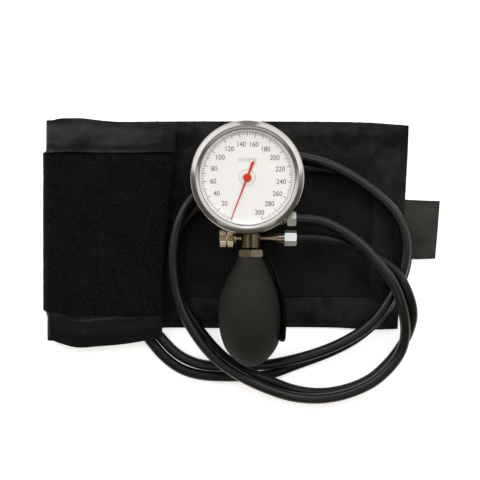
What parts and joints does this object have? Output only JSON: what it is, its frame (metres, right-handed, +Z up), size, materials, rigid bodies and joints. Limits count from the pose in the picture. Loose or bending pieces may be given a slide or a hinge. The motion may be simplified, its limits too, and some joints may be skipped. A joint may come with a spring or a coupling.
{
  "type": "aneroid sphygmomanometer",
  "caption": "Hand-held blood pressure gauge with a rubber bulb, release valve and spoon handle, lying with its two black hoses on a folded hook-and-loop arm cuff.",
  "frame": {"origin": "centre of the bounding box of everything but the two hoses, on the surface that the cuff lies on", "axes": "+X along the cuff towards its pull tab, +Y from the bulb to the gauge, +Z up out of the dial"},
  "size_m": [0.2603, 0.186, 0.0489],
  "materials": {
    "bezel": "polished chrome plate",
    "case": "polished chrome plate",
    "crystal": "clear, domed edge",
    "dial": "matt white, printed scale",
    "pointer": "bright red-orange lacquer",
    "movement": "lacquered brass",
    "spring": "phosphor bronze strip",
    "steel": "plain steel",
    "head": "polished nickel plate",
    "knob": "nickel plate, fine knurl",
    "handle": "black enamel",
    "bulb": "matt black rubber",
    "hose": "satin black rubber",
    "seal": "soft rubber",
    "bladder": "soft rubber sheet",
    "port": "moulded black plastic",
    "nylon": "black nylon weave, slightly shiny",
    "lining": "black coated nylon",
    "hook": "black woven hook tape",
    "loop": "black napped loop tape",
    "webbing": "dark ribbed webbing"
  },
  "bodies": {
    "base": {"gauge_case": "case", "bezel_ring": "bezel", "bezel_gasket": "seal", "crystal": "crystal", "dial_plate": "dial", "dial_ring": "dial", "hairspring": "spring", "movement_plate": "movement", "bridge_plate": "movement", "plate_pillars": "movement", "frame_posts": "movement", "movement_screws": "steel", "capsule": "spring", "capsule_base": "movement", "pressure_tube": "movement", "valve_block": "head", "head_stud": "steel", "ring_nut": "head", "spoon_handle": "handle", "bulb": "bulb", "outlet_valve_seat": "movement", "valve_gland": "movement", "valve_oring": "seal", "lower_spigot": "head", "lower_hose_nut": "head", "upper_spigot": "head", "upper_hose_nut": "head", "hose_gauge": "hose", "hose_bulb": "hose", "cuff_lining": "lining", "cuff_cover": "nylon", "bladder": "bladder", "bladder_ports": "port", "hook_patch": "hook", "cuff_fold": "nylon", "pull_tab": "webbing"},
    "pointer": {"pointer": "pointer", "pinion_arbor": "steel"},
    "sector": {"sector_gear": "movement", "sector_arbor": "steel"},
    "rocker": {"rocking_shaft": "steel"},
    "capsule_top": {"capsule_pad": "movement"},
    "valve_screw": {"valve_needle": "steel"},
    "knob": {"valve_knob": "knob"},
    "outlet_disc": {"outlet_valve_disc": "seal"},
    "bulb_end": {"inlet_valve_body": "head", "inlet_valve_retainer": "movement"},
    "inlet_ball": {"inlet_valve_ball": "steel"},
    "flap": {"cuff_flap": "nylon", "loop_patch": "loop"}
  },
  "joints": [
    {"name": "pointer_turn", "type": "hinge", "parent": "base", "child": "pointer", "pos_m": [0.0029, 0.0396, 0.039], "axis": [0, 0, -1], "range_deg": [0, 320], "deforming": ["hairspring"]},
    {"name": "sector_turn", "type": "hinge", "parent": "base", "child": "sector", "pos_m": [-0.0001, 0.06099, 0.0307], "axis": [0, 0, 1], "range_deg": [0, 29.1]},
    {"name": "rocking_shaft_turn", "type": "hinge", "parent": "base", "child": "rocker", "pos_m": [-0.0001, 0.0396, 0.0254], "axis": [0, -1, 0], "range_deg": [0, 25.1]},
    {"name": "capsule_swell", "type": "slide", "parent": "base", "child": "capsule_top", "axis": [0, 0, 1], "range_m": [0, 0.00128], "deforming": ["capsule"]},
    {"name": "valve_needle_lift", "type": "slide", "parent": "base", "child": "valve_screw", "axis": [-1, 0, 0], "range_m": [0, 0.00075]},
    {"name": "valve_knob_turn", "type": "hinge", "parent": "valve_screw", "child": "knob", "pos_m": [-0.01, 0.00172, 0.0285], "axis": [-1, 0, 0], "range_deg": [0, 541]},
    {"name": "bulb_squeeze", "type": "slide", "parent": "base", "child": "bulb_end", "axis": [0, -1, 0], "range_m": [0, 0.0015], "stiffness_N_per_m": 200, "deforming": ["bulb"]},
    {"name": "outlet_disc_lift", "type": "slide", "parent": "base", "child": "outlet_disc", "axis": [0, 1, 0], "range_m": [0, 0.00101]},
    {"name": "inlet_ball_lift", "type": "slide", "parent": "bulb_end", "child": "inlet_ball", "axis": [0, 1, 0], "range_m": [0, 0.001]},
    {"name": "flap_open", "type": "hinge", "parent": "base", "child": "flap", "pos_m": [-0.1232, 0.003, 0.0074], "axis": [0, -1, 0], "range_deg": [0, 180], "deforming": ["cuff_fold"]}
  ],
  "couplings": [
    {"joint": "rocking_shaft_turn", "follows": "capsule_swell", "rad_per_m": 340.88},
    {"joint": "sector_turn", "follows": "capsule_swell", "rad_per_m": 395.43},
    {"joint": "pointer_turn", "follows": "capsule_swell", "rad_per_m": 4349.7},
    {"joint": "valve_knob_turn", "follows": "valve_needle_lift", "rad_per_m": 12566},
    {"joint": "outlet_disc_lift", "follows": "bulb_squeeze", "ratio": 0.66667}
  ]
}
